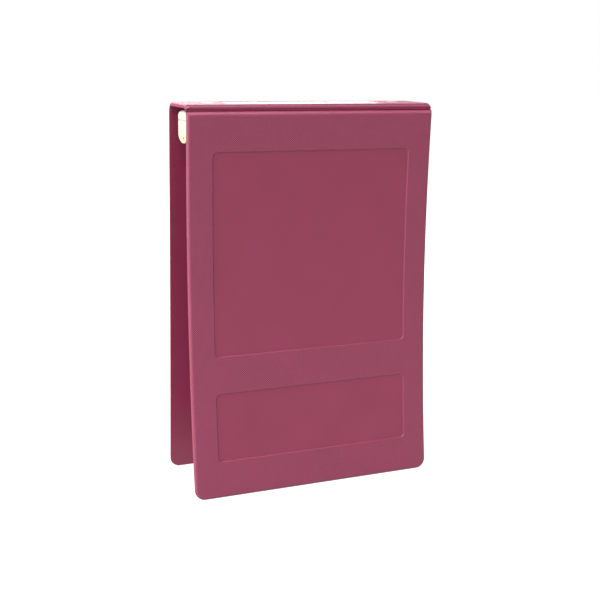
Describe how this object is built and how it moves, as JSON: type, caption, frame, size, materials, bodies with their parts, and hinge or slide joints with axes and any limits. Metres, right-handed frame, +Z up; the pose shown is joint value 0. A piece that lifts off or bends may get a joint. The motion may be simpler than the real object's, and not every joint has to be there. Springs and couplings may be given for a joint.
{
  "type": "coin album",
  "caption": "Top-opening ring album case: moulded spine with a ring mechanism and trigger levers, and two hinged covers with debossed panels.",
  "frame": {"origin": "on the surface that the covers stand on, under the middle of the spine", "axes": "+X along the spine, +Y towards the rear cover, +Z up"},
  "size_m": [0.224, 0.0866, 0.336],
  "materials": {
    "case_plastic": "maroon moulded plastic, fine diamond grain outside the smooth debossed panels",
    "grip_plastic": "ivory moulded plastic",
    "ring_plating": "bright nickel plating",
    "housing_plating": "bright nickel plating on pressed steel",
    "mechanism_steel": "zinc-plated steel",
    "rivet_steel": "nickel-plated rivet",
    "label_card": "blank white card",
    "clear_plastic": "clear rigid plastic"
  },
  "bodies": {
    "spine": {"spine_shell": "case_plastic", "label_card": "label_card", "label_window": "clear_plastic", "mechanism_housing": "housing_plating", "left_lever_pin": "mechanism_steel", "right_lever_pin": "mechanism_steel", "left_spine_rivet": "rivet_steel", "right_spine_rivet": "rivet_steel"},
    "front_cover": {"front_cover": "case_plastic"},
    "rear_cover": {"rear_cover": "case_plastic"},
    "front_blade": {"front_blade": "mechanism_steel", "front_half_ring_left": "ring_plating", "front_half_ring_centre": "ring_plating", "front_half_ring_right": "ring_plating"},
    "rear_blade": {"rear_blade": "mechanism_steel", "rear_half_ring_left": "ring_plating", "rear_half_ring_centre": "ring_plating", "rear_half_ring_right": "ring_plating"},
    "left_lever": {"left_lever_arm": "mechanism_steel", "left_lever_grip": "grip_plastic", "left_grip_rivet": "rivet_steel"},
    "right_lever": {"right_lever_arm": "mechanism_steel", "right_lever_grip": "grip_plastic", "right_grip_rivet": "rivet_steel"}
  },
  "joints": [
    {"name": "front_cover_hinge", "type": "hinge", "parent": "spine", "child": "front_cover", "pos_m": [0, -0.02441, 0.33113], "axis": [-1, 0, 0], "range_deg": [-2.5, 92]},
    {"name": "rear_cover_hinge", "type": "hinge", "parent": "spine", "child": "rear_cover", "pos_m": [0, 0.02441, 0.33113], "axis": [1, 0, 0], "range_deg": [-2.5, 92]},
    {"name": "front_blade_pivot", "type": "hinge", "parent": "spine", "child": "front_blade", "pos_m": [0, -0.01185, 0.3291], "axis": [-1, 0, 0], "range_deg": [0, 11]},
    {"name": "rear_blade_pivot", "type": "hinge", "parent": "spine", "child": "rear_blade", "pos_m": [0, 0.01185, 0.3291], "axis": [1, 0, 0], "range_deg": [0, 11]},
    {"name": "left_lever_pivot", "type": "hinge", "parent": "spine", "child": "left_lever", "pos_m": [-0.0975, 0, 0.3291], "axis": [0, 1, 0], "range_deg": [0, 18]},
    {"name": "right_lever_pivot", "type": "hinge", "parent": "spine", "child": "right_lever", "pos_m": [0.0975, 0, 0.3291], "axis": [0, -1, 0], "range_deg": [0, 18]}
  ],
  "couplings": [
    {"joint": "rear_blade_pivot", "follows": "front_blade_pivot", "ratio": 1},
    {"joint": "left_lever_pivot", "follows": "front_blade_pivot", "ratio": 1.636},
    {"joint": "right_lever_pivot", "follows": "front_blade_pivot", "ratio": 1.636}
  ]
}
